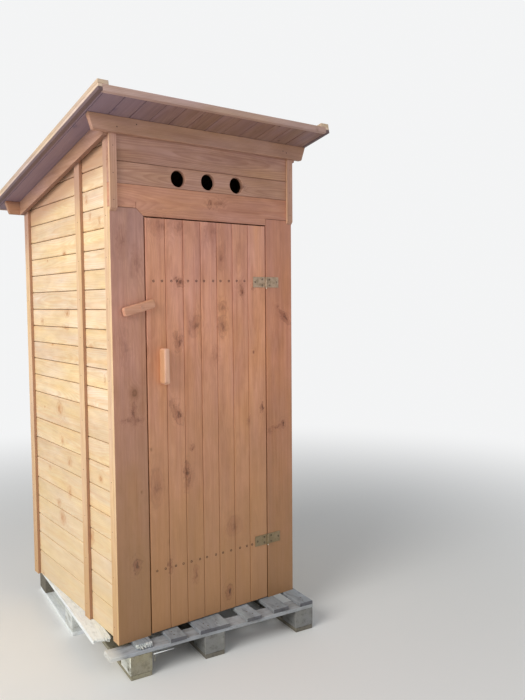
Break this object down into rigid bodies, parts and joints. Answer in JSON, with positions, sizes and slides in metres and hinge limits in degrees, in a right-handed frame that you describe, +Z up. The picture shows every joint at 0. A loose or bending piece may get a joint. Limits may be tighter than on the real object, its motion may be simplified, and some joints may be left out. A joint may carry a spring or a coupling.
{
  "type": "wooden outhouse",
  "caption": "Small free-standing wooden outhouse with a monopitch roof, a ledged door held by a turn button, round vents above it, and the pallet it stands on.",
  "frame": {"origin": "on the ground, under the centre of the cabin's footprint", "axes": "+Z up, -Y towards the front with the door, +X to the right seen from the front"},
  "size_m": [1.2565, 1.4821, 2.5367],
  "materials": {
    "stained_pine": "satin",
    "raw_pine": "matte",
    "weathered_pine": "matte",
    "roof_felt": "matte",
    "zinc_steel": "satin"
  },
  "bodies": {
    "cabin": {"button_screw": "zinc_steel", "door_head_rail": "raw_pine", "door_posts": "raw_pine", "door_stop": "raw_pine", "eave_strips": "stained_pine", "floor_boards": "raw_pine", "floor_joists": "raw_pine", "floor_sills": "raw_pine", "front_purlin": "stained_pine", "front_trims": "stained_pine", "header_boarding": "stained_pine", "hinge_frame_leaves": "zinc_steel", "hinge_pins": "zinc_steel", "left_battens": "stained_pine", "left_cladding": "stained_pine", "left_jamb": "stained_pine", "pallet_blocks": "weathered_pine", "pallet_deck": "weathered_pine", "pallet_skids": "weathered_pine", "pallet_stringers": "weathered_pine", "rear_battens": "stained_pine", "rear_cladding": "stained_pine", "rear_purlin": "stained_pine", "right_battens": "stained_pine", "right_cladding": "stained_pine", "right_jamb": "stained_pine", "roof_boards": "stained_pine", "roof_felt": "roof_felt", "side_rafters": "stained_pine", "top_rails": "raw_pine", "verge_battens": "stained_pine", "verge_strips": "stained_pine", "wall_studs": "raw_pine"},
    "door": {"door_boards": "stained_pine", "door_ledges": "raw_pine", "door_handle": "stained_pine", "hinge_door_leaves": "zinc_steel"},
    "turn_button": {"turn_button": "stained_pine"}
  },
  "joints": [
    {"name": "door_hinge", "type": "hinge", "parent": "cabin", "child": "door", "pos_m": [0.3335, -0.558, 1.094], "axis": [0, 0, 1], "range_deg": [0, 170]},
    {"name": "button_pivot", "type": "hinge", "parent": "cabin", "child": "turn_button", "pos_m": [-0.369, -0.558, 1.646], "axis": [0, -1, 0], "range_deg": [-105.1, 74.9]}
  ]
}
